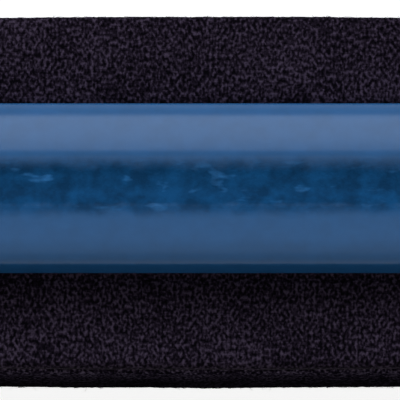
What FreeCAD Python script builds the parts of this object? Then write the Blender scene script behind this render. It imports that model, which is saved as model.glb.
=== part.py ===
"""Chalkboard eraser: a felt wiping pad with a hollow moulded grip, in millimetres.

Strips of felt stand on edge under a fibreboard back.  The tall strips reach down to the
chalkboard and the short ones between them stop above it, which leaves channels for the
dust.  A cover felt hides the board, and a moulded grip sits on it.  The grip's screw bosses
pass through the cover felt, stand on the board and take countersunk screws from beneath.

Frame: X along the eraser, Y across it, Z up.  The origin is the middle of the wiping face.
"""

import FreeCAD, Part
import math
import os
import Sketcher

Vector = FreeCAD.Vector

doc = FreeCAD.newDocument("ChalkboardEraser")
sheet = doc.addObject("Spreadsheet::Sheet", "Sizes")

# Driving dimensions, in millimetres, degrees and counts.
DIMENSIONS = {
    # Felt strips
    "pad_length": "127",
    "wiping_ply_count": "9",
    "wiping_ply_thickness": "4",
    "wiping_ply_height": "17",
    "wiping_edge_radius": "0.8",
    "spacer_ply_thickness": "1.85",
    "dust_channel_depth": "6",
    # Layers above the strips
    "ply_adhesive_thickness": "0.4",
    "board_thickness": "2.5",
    "board_inset": "1",
    "board_corner_radius": "2",
    "cover_adhesive_thickness": "0.3",
    "cover_felt_thickness": "3",
    "cover_corner_radius": "1.5",
    "cover_edge_radius": "1.2",
    # Grip moulding
    "grip_end_setback": "11.5",
    "grip_width": "23.5",
    "grip_height": "10.5",
    "grip_corner_radius": "9",
    "grip_crown_radius": "33",
    "grip_shoulder_radius": "2.8",
    "grip_draft": "1.5",
    "grip_wall": "2.2",
    # Finger channel along the top of the grip
    "channel_end_margin": "9",
    "channel_end_flat": "0.4",
    "channel_floor_width": "2.4",
    "channel_slope_width": "3.8",
    "channel_end_ramp": "6",
    "channel_depth": "1.2",
    "channel_rim_radius": "4",
    "channel_floor_radius": "3",
    # Hollows, ribs and bosses inside the grip
    "relief_width": "3",
    "relief_height": "0.6",
    "relief_corner_radius": "0.9",
    "rib_thickness": "1.4",
    "rib_seat_gap": "0.6",
    "boss_count": "3",
    "boss_end_margin": "16",
    "boss_diameter": "7",
    "boss_hole_clearance": "0.6",
    # Screws
    "screw_shank_diameter": "2.9",
    "screw_engagement": "7.5",
    "screw_tip_length": "1.2",
    "screw_tip_diameter": "1",
    "screw_head_diameter": "5.6",
    "screw_head_height": "1.35",
    "screw_recess_span": "3.2",
    "screw_recess_width": "0.9",
    "screw_recess_depth": "0.9",
    "screw_play": "0.2",
    "bore_play": "0.1",
    "bore_end_play": "1",
}

# Sizes and levels that follow from the driving dimensions.
PLY_PITCH = "(Sizes.wiping_ply_thickness + Sizes.spacer_ply_thickness)"
PAD_WIDTH = f"((Sizes.wiping_ply_count - 1) * {PLY_PITCH} + Sizes.wiping_ply_thickness)"
SPACER_HEIGHT = "(Sizes.wiping_ply_height - Sizes.dust_channel_depth)"
BOARD_LENGTH = "(Sizes.pad_length - 2 * Sizes.board_inset)"
BOARD_WIDTH = f"({PAD_WIDTH} - 2 * Sizes.board_inset)"
BOARD_BOTTOM = "(Sizes.wiping_ply_height + Sizes.ply_adhesive_thickness)"
BOARD_TOP = f"({BOARD_BOTTOM} + Sizes.board_thickness)"
COVER_BOTTOM = f"({BOARD_TOP} + Sizes.cover_adhesive_thickness)"
GRIP_BOTTOM = f"({COVER_BOTTOM} + Sizes.cover_felt_thickness)"
GRIP_LENGTH = "(Sizes.pad_length - 2 * Sizes.grip_end_setback)"
RIM_LENGTH = f"({GRIP_LENGTH} - 2 * Sizes.channel_end_margin)"
RIM_WIDTH = "(Sizes.channel_floor_width + 2 * Sizes.channel_slope_width)"
FLOOR_LENGTH = f"({RIM_LENGTH} - 2 * Sizes.channel_end_ramp)"
FLOOR_LEVEL = "(Sizes.grip_height - Sizes.channel_depth)"
CAVITY_DEPTH = f"({FLOOR_LEVEL} - Sizes.grip_wall)"
RELIEF_OFFSET = f"(({RIM_WIDTH} + Sizes.grip_width) / 4 - Sizes.grip_wall / 2)"
BOSS_SPAN = f"({GRIP_LENGTH} - 2 * Sizes.boss_end_margin)"
BOSS_PITCH = f"({BOSS_SPAN} / (Sizes.boss_count - 1))"
BOSS_STANDOFF = "(Sizes.cover_adhesive_thickness + Sizes.cover_felt_thickness)"
BOSS_HOLE = "(Sizes.boss_diameter + Sizes.boss_hole_clearance)"
SCREW_HOLE = "(Sizes.screw_shank_diameter + Sizes.screw_play)"
SCREW_HEAD_SEAT = "(Sizes.screw_head_diameter + Sizes.screw_play)"
SCREW_LENGTH = "(Sizes.board_thickness + Sizes.screw_engagement)"
BORE = "(Sizes.screw_shank_diameter + Sizes.bore_play)"


# How far a cutting profile runs past the material that it removes.
OVERCUT = "1"
# The countersink's full angle, from the screw head's own taper.
COUNTERSINK_ANGLE = (
    "2 * atan((Sizes.screw_head_diameter - Sizes.screw_shank_diameter)"
    " / (2 * Sizes.screw_head_height))"
)
EDGE_TOLERANCE = 0.01


def fill_sheet():
    """Writes one dimension to each row, with its alias."""
    for row, (alias, number) in enumerate(DIMENSIONS.items(), start=1):
        cell = f"A{row}"
        sheet.set(cell, number)
        sheet.setAlias(cell, alias)
    doc.recompute()


def value(expression):
    """Returns an expression's present value as a plain number."""
    return float(sheet.evalExpression(expression))


def new_body(label):
    """Starts a PartDesign body whose label names its file."""
    body = doc.addObject("PartDesign::Body", f"{label}_body")
    body.Label = label
    return body


def origin_feature(body, role):
    """Finds one of the body's own origin planes or axes."""
    return next(item for item in body.Origin.OriginFeatures if item.Role == role)


def new_sketch(body, name, plane="XY_Plane", **offsets):
    """Adds a sketch on one of the body's planes, moved by an expression along x, y or z."""
    sketch = body.newObject("Sketcher::SketchObject", name)
    sketch.AttachmentSupport = [(origin_feature(body, plane), "")]
    sketch.MapMode = "FlatFace"
    for axis, expression in offsets.items():
        sketch.setExpression(f"AttachmentOffset.Base.{axis}", expression)
    return sketch


def bind(sketch, constraint, expression):
    """Adds a dimensional constraint and ties it to an expression."""
    index = sketch.addConstraint(constraint)
    sketch.setExpression(f"Constraints[{index}]", expression)


def draw_rounded_rectangle(sketch, length, width, radius):
    """Draws an outline centred on the sketch's origin, with four equal round corners."""
    half_x = value(length) / 2
    half_y = value(width) / 2
    corner = value(radius)
    inner_x = half_x - corner
    inner_y = half_y - corner
    ends = (
        (Vector(-inner_x, -half_y), Vector(inner_x, -half_y)),
        (Vector(half_x, -inner_y), Vector(half_x, inner_y)),
        (Vector(inner_x, half_y), Vector(-inner_x, half_y)),
        (Vector(-half_x, inner_y), Vector(-half_x, -inner_y)),
    )
    sides = [sketch.addGeometry(Part.LineSegment(start, end)) for start, end in ends]
    arcs = []
    for quarter, (x_sign, y_sign) in enumerate(((1, -1), (1, 1), (-1, 1), (-1, -1))):
        circle = Part.Circle(Vector(x_sign * inner_x, y_sign * inner_y), Vector(0, 0, 1), corner)
        start = (quarter - 1) * math.pi / 2
        arcs.append(sketch.addGeometry(Part.ArcOfCircle(circle, start, start + math.pi / 2)))
    for side, arc, following in zip(sides, arcs, sides[1:] + sides[:1]):
        sketch.addConstraint(Sketcher.Constraint("Tangent", side, 2, arc, 1))
        sketch.addConstraint(Sketcher.Constraint("Tangent", arc, 2, following, 1))
    for arc in arcs[1:]:
        sketch.addConstraint(Sketcher.Constraint("Equal", arcs[0], arc))
    bottom, right, top, left = sides
    sketch.addConstraint(Sketcher.Constraint("Symmetric", bottom, 1, bottom, 2, -2))
    sketch.addConstraint(Sketcher.Constraint("Symmetric", right, 1, right, 2, -1))
    sketch.addConstraint(Sketcher.Constraint("Horizontal", top))
    sketch.addConstraint(Sketcher.Constraint("Vertical", left))
    bind(sketch, Sketcher.Constraint("DistanceX", left, 1, right, 2, 2 * half_x), length)
    bind(sketch, Sketcher.Constraint("DistanceY", bottom, 1, top, 2, 2 * half_y), width)
    bind(sketch, Sketcher.Constraint("Radius", arcs[0], corner), radius)


def draw_rectangle(sketch, length, width):
    """Draws a rectangle centred on the sketch's origin."""
    half_x = value(length) / 2
    half_y = value(width) / 2
    corners = [Vector(x * half_x, y * half_y) for x, y in ((-1, -1), (1, -1), (1, 1), (-1, 1))]
    sides = []
    for start, end in zip(corners, corners[1:] + corners[:1]):
        sides.append(sketch.addGeometry(Part.LineSegment(start, end)))
    for side, following in zip(sides, sides[1:] + sides[:1]):
        sketch.addConstraint(Sketcher.Constraint("Coincident", side, 2, following, 1))
    bottom, right, top, left = sides
    sketch.addConstraint(Sketcher.Constraint("Symmetric", bottom, 1, bottom, 2, -2))
    sketch.addConstraint(Sketcher.Constraint("Symmetric", right, 1, right, 2, -1))
    sketch.addConstraint(Sketcher.Constraint("Horizontal", top))
    sketch.addConstraint(Sketcher.Constraint("Vertical", left))
    bind(sketch, Sketcher.Constraint("DistanceX", bottom, 1, bottom, 2, 2 * half_x), length)
    bind(sketch, Sketcher.Constraint("DistanceY", right, 1, right, 2, 2 * half_y), width)


def draw_circle(sketch, diameter):
    """Draws a circle centred on the sketch's origin."""
    circle = sketch.addGeometry(Part.Circle(Vector(0, 0), Vector(0, 0, 1), value(diameter) / 2))
    sketch.addConstraint(Sketcher.Constraint("Coincident", circle, 3, -1, 1))
    bind(sketch, Sketcher.Constraint("Diameter", circle, value(diameter)), diameter)


def add_pad(body, sketch, height, taper=None):
    """Pads a sketch upward by an expression, drawn in by an optional taper angle."""
    pad = body.newObject("PartDesign::Pad", f"{sketch.Name}_pad")
    pad.Profile = sketch
    pad.setExpression("Length", height)
    if taper:
        pad.setExpression("TaperAngle", f"-{taper}")
    doc.recompute()
    return pad


def add_pocket(body, sketch, height):
    """Cuts a sketch upward into the body by an expression."""
    pocket = body.newObject("PartDesign::Pocket", f"{sketch.Name}_pocket")
    pocket.Profile = sketch
    pocket.Reversed = True
    pocket.setExpression("Length", height)
    doc.recompute()
    return pocket


def add_fillet(body, feature, name, edges, radius):
    """Rounds the named edges of a feature by an expression."""
    fillet = body.newObject("PartDesign::Fillet", name)
    fillet.Base = (feature, edges)
    fillet.setExpression("Radius", radius)
    doc.recompute()
    return fillet


def add_row(body, feature, span, count):
    """Repeats a feature along X over a span and makes the row the body's tip."""
    row = body.newObject("PartDesign::LinearPattern", f"{feature.Name}_row")
    row.Originals = [feature]
    row.Direction = (origin_feature(body, "X_Axis"), [""])
    row.setExpression("Length", span)
    row.setExpression("Occurrences", count)
    body.Tip = row
    doc.recompute()
    return row


def edges_at(feature, level, width=None):
    """Names the edges that lie wholly at one height, inside a centred width if one is given."""
    height = value(level)
    reach = value(width) / 2 if width else math.inf
    names = []
    for index, edge in enumerate(feature.Shape.Edges, start=1):
        box = edge.BoundBox
        is_level = max(abs(box.ZMin - height), abs(box.ZMax - height)) < EDGE_TOLERANCE
        is_inside = max(-box.YMin, box.YMax) < reach + EDGE_TOLERANCE
        if is_level and is_inside:
            names.append(f"Edge{index}")
    return names


def build_plies(label, count, thickness, bottom, height, edge_radius=None):
    """Builds a centred set of felt strips on edge, one ply pitch apart across the pad."""
    for index in range(count):
        body = new_body(f"{label}_{index + 1}")
        outline = new_sketch(body, f"{body.Label}_outline")
        draw_rectangle(outline, "Sizes.pad_length", thickness)
        strip = add_pad(body, outline, height)
        if edge_radius:
            add_fillet(body, strip, f"{body.Label}_worn_edge", edges_at(strip, "0"), edge_radius)
        body.setExpression("Placement.Base.y", f"{index - (count - 1) / 2} * {PLY_PITCH}")
        body.setExpression("Placement.Base.z", bottom)


def build_ply_adhesive():
    """Builds the film of glue that holds the strips to the board."""
    body = new_body("ply_adhesive")
    outline = new_sketch(body, "ply_adhesive_outline")
    draw_rounded_rectangle(outline, BOARD_LENGTH, BOARD_WIDTH, "Sizes.board_corner_radius")
    add_pad(body, outline, "Sizes.ply_adhesive_thickness")
    body.setExpression("Placement.Base.z", "Sizes.wiping_ply_height")


def build_backing_board():
    """Builds the fibreboard back with its row of countersunk screw holes."""
    body = new_body("backing_board")
    outline = new_sketch(body, "board_outline")
    draw_rounded_rectangle(outline, BOARD_LENGTH, BOARD_WIDTH, "Sizes.board_corner_radius")
    add_pad(body, outline, "Sizes.board_thickness")
    centre = new_sketch(body, "screw_hole_centre", x=f"-{BOSS_SPAN} / 2")
    draw_circle(centre, SCREW_HOLE)
    doc.recompute()
    hole = body.newObject("PartDesign::Hole", "screw_hole")
    hole.Profile = centre
    hole.Reversed = True
    hole.DepthType = "ThroughAll"
    hole.setExpression("Diameter", SCREW_HOLE)
    hole.HoleCutType = "Countersink"
    hole.HoleCutCustomValues = True
    hole.setExpression("HoleCutDiameter", SCREW_HEAD_SEAT)
    hole.setExpression("HoleCutCountersinkAngle", COUNTERSINK_ANGLE)
    doc.recompute()
    add_row(body, hole, BOSS_SPAN, "Sizes.boss_count")
    body.setExpression("Placement.Base.z", BOARD_BOTTOM)


def build_cover_layer(label, thickness, length, width, corner_radius, bottom, edge_radius=None):
    """Builds a layer over the board, with a row of holes that the grip's bosses pass through."""
    body = new_body(label)
    outline = new_sketch(body, f"{label}_outline")
    draw_rounded_rectangle(outline, length, width, corner_radius)
    layer = add_pad(body, outline, thickness)
    if edge_radius:
        add_fillet(body, layer, f"{label}_edge", edges_at(layer, thickness), edge_radius)
    hole = new_sketch(body, f"{label}_boss_hole", x=f"-{BOSS_SPAN} / 2")
    draw_circle(hole, BOSS_HOLE)
    pocket = add_pocket(body, hole, thickness)
    add_row(body, pocket, BOSS_SPAN, "Sizes.boss_count")
    body.setExpression("Placement.Base.z", bottom)


def draw_crown_profile(sketch):
    """Draws the region above the crown: a wide arc, closed over its top by three lines."""
    radius = value("Sizes.grip_crown_radius")
    height = value("Sizes.grip_height")
    width = f"Sizes.grip_width + 2 * {OVERCUT}"
    reach = math.asin(value(width) / 2 / radius)
    circle = Part.Circle(Vector(0, height - radius), Vector(0, 0, 1), radius)
    arc = sketch.addGeometry(Part.ArcOfCircle(circle, math.pi / 2 - reach, math.pi / 2 + reach))
    low = height - radius * (1 - math.cos(reach))
    high = value(f"Sizes.grip_height + {OVERCUT}")
    side = value(width) / 2
    right = sketch.addGeometry(Part.LineSegment(Vector(side, low), Vector(side, high)))
    top = sketch.addGeometry(Part.LineSegment(Vector(side, high), Vector(-side, high)))
    left = sketch.addGeometry(Part.LineSegment(Vector(-side, high), Vector(-side, low)))
    for first, first_end, second, second_end in (
        (arc, 1, right, 1), (right, 2, top, 1), (top, 2, left, 1), (left, 2, arc, 2)
    ):
        joint = Sketcher.Constraint("Coincident", first, first_end, second, second_end)
        sketch.addConstraint(joint)
    sketch.addConstraint(Sketcher.Constraint("Vertical", right))
    sketch.addConstraint(Sketcher.Constraint("Horizontal", top))
    sketch.addConstraint(Sketcher.Constraint("Vertical", left))
    sketch.addConstraint(Sketcher.Constraint("PointOnObject", arc, 3, -2))
    drop = "Sizes.grip_crown_radius - Sizes.grip_height"
    rise = f"Sizes.grip_height + {OVERCUT}"
    bind(sketch, Sketcher.Constraint("Radius", arc, radius), "Sizes.grip_crown_radius")
    bind(sketch, Sketcher.Constraint("DistanceY", arc, 3, -1, 1, value(drop)), drop)
    bind(sketch, Sketcher.Constraint("DistanceX", top, 2, top, 1, value(width)), width)
    bind(sketch, Sketcher.Constraint("DistanceY", -1, 1, top, 1, value(rise)), rise)


def add_crown(body):
    """Cuts the block's flat top to a wide arc across its width."""
    profile = new_sketch(body, "crown_profile", plane="YZ_Plane")
    draw_crown_profile(profile)
    crown = body.newObject("PartDesign::Pocket", "grip_crown")
    crown.Profile = profile
    crown.Midplane = True
    crown.setExpression("Length", f"{GRIP_LENGTH} + 2 * {OVERCUT}")
    doc.recompute()
    return crown


def crown_edges(feature, width=None):
    """Names the edges around the crowned top face, inside a centred width if one is given."""
    shape = feature.Shape
    top = value("Sizes.grip_height")
    reach = value(width) / 2 if width else math.inf
    high_faces = [face for face in shape.Faces if abs(face.BoundBox.ZMax - top) < EDGE_TOLERANCE]
    crown = max(high_faces, key=lambda face: face.Area)
    names = []
    for index, edge in enumerate(shape.Edges, start=1):
        box = edge.BoundBox
        is_inside = max(-box.YMin, box.YMax) < reach + EDGE_TOLERANCE
        if is_inside and any(edge.isSame(side) for side in crown.Edges):
            names.append(f"Edge{index}")
    return names


def add_grip_shell(body):
    """Adds the grip's drafted block with round shoulders and hollows it from beneath."""
    outline = new_sketch(body, "grip_outline")
    draw_rounded_rectangle(outline, GRIP_LENGTH, "Sizes.grip_width", "Sizes.grip_corner_radius")
    add_pad(body, outline, "Sizes.grip_height", "Sizes.grip_draft")
    crowned = add_crown(body)
    shoulder = crown_edges(crowned)
    add_fillet(body, crowned, "grip_shoulder", shoulder, "Sizes.grip_shoulder_radius")
    cavity = new_sketch(body, "grip_cavity")
    draw_rounded_rectangle(
        cavity,
        f"{GRIP_LENGTH} - 2 * Sizes.grip_wall",
        "Sizes.grip_width - 2 * Sizes.grip_wall",
        "Sizes.grip_corner_radius - Sizes.grip_wall",
    )
    add_pocket(body, cavity, CAVITY_DEPTH)


def add_finger_channel(body):
    """Adds the shallow channel along the top, with sloping sides and scooped ends."""
    rim = new_sketch(body, "channel_rim", z="Sizes.grip_height")
    rim_corner = f"({RIM_WIDTH} - Sizes.channel_end_flat) / 2"
    draw_rounded_rectangle(rim, RIM_LENGTH, RIM_WIDTH, rim_corner)
    floor = new_sketch(body, "channel_floor", z=FLOOR_LEVEL)
    floor_corner = "(Sizes.channel_floor_width - Sizes.channel_end_flat) / 2"
    draw_rounded_rectangle(floor, FLOOR_LENGTH, "Sizes.channel_floor_width", floor_corner)
    doc.recompute()
    channel = body.newObject("PartDesign::SubtractiveLoft", "finger_channel")
    channel.Profile = rim
    channel.Sections = [floor]
    channel.Ruled = True
    doc.recompute()
    rim_edges = crown_edges(channel, RIM_WIDTH)
    rim_round = add_fillet(
        body, channel, "channel_rim_round", rim_edges, "Sizes.channel_rim_radius"
    )
    floor_edges = edges_at(rim_round, FLOOR_LEVEL, RIM_WIDTH)
    add_fillet(body, rim_round, "channel_floor_round", floor_edges, "Sizes.channel_floor_radius")


def add_ridge_reliefs(body):
    """Cores out the thick ridges on both sides of the channel, from inside the cavity."""
    relief = new_sketch(body, "ridge_relief", y=RELIEF_OFFSET, z=CAVITY_DEPTH)
    draw_rounded_rectangle(relief, FLOOR_LENGTH, "Sizes.relief_width", "Sizes.relief_corner_radius")
    pocket = add_pocket(body, relief, "Sizes.relief_height")
    mirrored = body.newObject("PartDesign::Mirrored", "ridge_relief_pair")
    mirrored.Originals = [pocket]
    mirrored.MirrorPlane = (origin_feature(body, "XZ_Plane"), [""])
    body.Tip = mirrored
    doc.recompute()


def add_ribs_and_bosses(body):
    """Adds cross ribs, and screw bosses that reach down through the cover to the board."""
    rib = new_sketch(body, "cross_rib", x=f"-{BOSS_SPAN} / 2", z="Sizes.rib_seat_gap")
    draw_rectangle(rib, "Sizes.rib_thickness", "Sizes.grip_width - Sizes.grip_wall")
    rib_pad = add_pad(body, rib, f"{CAVITY_DEPTH} - Sizes.rib_seat_gap")
    add_row(body, rib_pad, BOSS_SPAN, "2 * Sizes.boss_count - 1")
    boss = new_sketch(body, "screw_boss", x=f"-{BOSS_SPAN} / 2", z=f"-{BOSS_STANDOFF}")
    draw_circle(boss, "Sizes.boss_diameter")
    boss_pad = add_pad(body, boss, f"{BOSS_STANDOFF} + {CAVITY_DEPTH}")
    add_row(body, boss_pad, BOSS_SPAN, "Sizes.boss_count")
    bore = new_sketch(body, "pilot_bore", x=f"-{BOSS_SPAN} / 2", z=f"-{BOSS_STANDOFF}")
    draw_circle(bore, BORE)
    bore_pocket = add_pocket(body, bore, "Sizes.screw_engagement + Sizes.bore_end_play")
    add_row(body, bore_pocket, BOSS_SPAN, "Sizes.boss_count")


def build_grip():
    """Builds the moulded grip, the piece that the hand holds."""
    body = new_body("grip")
    add_grip_shell(body)
    add_finger_channel(body)
    add_ridge_reliefs(body)
    add_ribs_and_bosses(body)
    body.setExpression("Placement.Base.z", GRIP_BOTTOM)


def build_screws():
    """Builds the row of countersunk screws as one group of separate solids."""
    screws = []
    for index in range(round(value("Sizes.boss_count"))):
        head = doc.addObject("Part::Cone", f"screw_head_{index + 1}")
        head.setExpression("Radius1", "Sizes.screw_head_diameter / 2")
        head.setExpression("Radius2", "Sizes.screw_shank_diameter / 2")
        head.setExpression("Height", "Sizes.screw_head_height")
        shank = doc.addObject("Part::Cylinder", f"screw_shank_{index + 1}")
        shank.setExpression("Radius", "Sizes.screw_shank_diameter / 2")
        shank.setExpression("Height", f"{SCREW_LENGTH} - Sizes.screw_tip_length")
        tip = doc.addObject("Part::Cone", f"screw_tip_{index + 1}")
        tip.setExpression("Radius1", "Sizes.screw_shank_diameter / 2")
        tip.setExpression("Radius2", "Sizes.screw_tip_diameter / 2")
        tip.setExpression("Height", "Sizes.screw_tip_length")
        tip.setExpression("Placement.Base.z", f"{SCREW_LENGTH} - Sizes.screw_tip_length")
        blank = doc.addObject("Part::MultiFuse", f"screw_blank_{index + 1}")
        blank.Shapes = [head, shank, tip]
        slots = []
        sizes = ("Sizes.screw_recess_span", "Sizes.screw_recess_width")
        for name, (along, across) in (("long", sizes), ("cross", sizes[::-1])):
            slot = doc.addObject("Part::Box", f"screw_{name}_slot_{index + 1}")
            slot.setExpression("Length", along)
            slot.setExpression("Width", across)
            slot.setExpression("Height", "Sizes.screw_recess_depth")
            slot.setExpression("Placement.Base.x", f"-{along} / 2")
            slot.setExpression("Placement.Base.y", f"-{across} / 2")
            slots.append(slot)
        recess = doc.addObject("Part::MultiFuse", f"screw_recess_{index + 1}")
        recess.Shapes = slots
        screw = doc.addObject("Part::Cut", f"grip_screw_{index + 1}")
        screw.Base = blank
        screw.Tool = recess
        screw.setExpression("Placement.Base.x", f"{index} * {BOSS_PITCH} - {BOSS_SPAN} / 2")
        screws.append(screw)
    group = doc.addObject("Part::Compound", "grip_screws_group")
    group.Label = "grip_screws"
    group.Links = screws
    group.setExpression("Placement.Base.z", BOARD_BOTTOM)


def check_document():
    """Stops if any object failed to build."""
    for item in doc.Objects:
        if "Invalid" in item.State or "Error" in item.State:
            raise RuntimeError(f"{item.Name} did not build: {item.State}")


def sub_parts():
    """Returns the finished pieces: every body, and the group of screws."""
    bodies = [item for item in doc.Objects if item.TypeId == "PartDesign::Body"]
    groups = [item for item in doc.Objects if item.TypeId == "Part::Compound"]
    return bodies + groups


def write_parts():
    """Checks each piece's shape and then writes one STEP file for each piece."""
    pieces = sub_parts()
    for piece in pieces:
        if piece.Shape.isNull() or not piece.Shape.isValid() or not piece.Shape.Solids:
            raise RuntimeError(f"{piece.Label} has no valid solid")
    os.makedirs("parts", exist_ok=True)
    for piece in pieces:
        piece.Shape.exportStep(f"parts/{piece.Label}.step")
        print(f"{piece.Label}: {len(piece.Shape.Solids)} solid(s), {piece.Shape.Volume:.1f} mm3")


fill_sheet()
wiping_plies = round(value("Sizes.wiping_ply_count"))
build_plies(
    "wiping_ply",
    wiping_plies,
    "Sizes.wiping_ply_thickness",
    "0",
    "Sizes.wiping_ply_height",
    "Sizes.wiping_edge_radius",
)
build_plies(
    "spacer_ply",
    wiping_plies - 1,
    "Sizes.spacer_ply_thickness",
    "Sizes.dust_channel_depth",
    SPACER_HEIGHT,
)
build_ply_adhesive()
build_backing_board()
build_cover_layer(
    "cover_adhesive",
    "Sizes.cover_adhesive_thickness",
    BOARD_LENGTH,
    BOARD_WIDTH,
    "Sizes.board_corner_radius",
    BOARD_TOP,
)
build_cover_layer(
    "cover_felt",
    "Sizes.cover_felt_thickness",
    "Sizes.pad_length",
    PAD_WIDTH,
    "Sizes.cover_corner_radius",
    COVER_BOTTOM,
    "Sizes.cover_edge_radius",
)
build_grip()
build_screws()
doc.recompute()
check_document()
write_parts()
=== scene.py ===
"""Dresses the chalkboard eraser: felt with a real nap, a moulded grip, and studio light."""

import bpy
import bmesh
import logging
import math
import random
from bmesh.types import BMEdge, BMesh, BMFace, BMVert
from dataclasses import dataclass, field
from enum import Enum
from mathutils import Matrix, Vector, noise

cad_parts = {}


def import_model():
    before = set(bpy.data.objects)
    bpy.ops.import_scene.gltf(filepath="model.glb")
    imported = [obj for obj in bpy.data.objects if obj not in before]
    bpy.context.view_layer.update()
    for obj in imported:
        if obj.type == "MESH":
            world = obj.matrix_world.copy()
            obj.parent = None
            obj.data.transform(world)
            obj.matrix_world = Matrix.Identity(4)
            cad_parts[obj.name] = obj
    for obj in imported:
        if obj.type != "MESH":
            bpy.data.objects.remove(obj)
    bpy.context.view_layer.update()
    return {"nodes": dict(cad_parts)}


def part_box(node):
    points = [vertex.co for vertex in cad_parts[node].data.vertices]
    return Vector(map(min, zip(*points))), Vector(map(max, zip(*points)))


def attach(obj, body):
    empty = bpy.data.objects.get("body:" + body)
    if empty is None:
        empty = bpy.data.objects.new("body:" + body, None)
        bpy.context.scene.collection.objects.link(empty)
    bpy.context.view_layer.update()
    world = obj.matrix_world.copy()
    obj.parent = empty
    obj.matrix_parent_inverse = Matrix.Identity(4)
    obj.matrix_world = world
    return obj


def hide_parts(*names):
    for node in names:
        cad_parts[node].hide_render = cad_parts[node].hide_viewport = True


MM = 0.001
ROOT = "root"

log = logging.getLogger("eraser")

Colour = tuple[float, float, float, float]
Socket = bpy.types.NodeSocket
Tree = bpy.types.NodeTree

# Inputs of a Mix node that blends colours.  Their names also belong to its other modes.
MIX_SHARE, MIX_FIRST, MIX_SECOND = 0, 6, 7


# ---------------------------------------------------------------- colours and nodes


def srgb(hex_colour: str) -> Colour:
    """Turns an sRGB hex colour to the linear values that shaders take.

    Args:
        hex_colour: Six hex digits after a hash sign.

    Returns:
        Linear red, green and blue, and an alpha of one.
    """
    parts = [int(hex_colour[i:i + 2], 16) / 255 for i in (1, 3, 5)]
    linear = [c / 12.92 if c <= 0.04045 else ((c + 0.055) / 1.055) ** 2.4 for c in parts]
    return (linear[0], linear[1], linear[2], 1.0)


def add_node(
    tree: Tree,
    kind: str,
    inputs: dict[str | int, object] | None = None,
    **settings: object,
) -> bpy.types.Node:
    """Adds a shader node, sets it up and wires its inputs.

    Args:
        tree: The node tree that takes the node.
        kind: The node's type name without its ShaderNode prefix.
        inputs: Values, or output sockets to link, by input name or index.
        settings: Attributes of the node.

    Returns:
        The new node.
    """
    node = tree.nodes.new(f"ShaderNode{kind}")
    for name, setting in settings.items():
        setattr(node, name, setting)
    for name, source in (inputs or {}).items():
        if isinstance(source, Socket):
            tree.links.new(source, node.inputs[name])
        else:
            node.inputs[name].default_value = source
    return node


def set_ramp(node: bpy.types.Node, stops: list[tuple[float, Colour]]) -> None:
    """Sets a colour ramp's stops.

    Args:
        node: The ramp node, which starts with two stops.
        stops: Places from 0 to 1, each with its linear colour.
    """
    elements = node.color_ramp.elements
    while len(elements) < len(stops):
        elements.new(0.5)
    for element, (place, colour) in zip(elements, stops):
        element.position = place
        element.color = colour


def seen_directly(tree: Tree) -> Socket:
    """Tells whether a background is seen by the camera, in a gloss or through glass.

    Args:
        tree: The background's node tree.

    Returns:
        One where it is seen so, and nought where it only lights other things.
    """
    rays = add_node(tree, "LightPath").outputs
    seen = add_node(
        tree, "Math", {0: rays["Is Camera Ray"], 1: rays["Is Glossy Ray"]}, operation="MAXIMUM"
    ).outputs[0]
    return add_node(
        tree, "Math", {0: seen, 1: rays["Is Transmission Ray"]}, operation="MAXIMUM"
    ).outputs[0]


# ---------------------------------------------------------------- finishes


@dataclass(frozen=True)
class Finish:
    """What a surface is made of and how it was made, as one procedural material."""

    name: str

    def material(self) -> bpy.types.Material:
        """Builds the material.

        Returns:
            The material.
        """
        material = bpy.data.materials.new(self.name)
        material.use_nodes = True
        tree = material.node_tree
        tree.nodes.clear()
        place = add_node(tree, "TexCoord").outputs["Object"]
        add_node(tree, "OutputMaterial", {"Surface": self.shader(tree, place)})
        return material

    def shader(self, tree: Tree, place: Socket) -> Socket:
        """Wires the nodes that are this finish's own.

        Args:
            tree: The material's tree.
            place: The object's coordinates.

        Returns:
            The finished shader.
        """
        raise NotImplementedError


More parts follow.
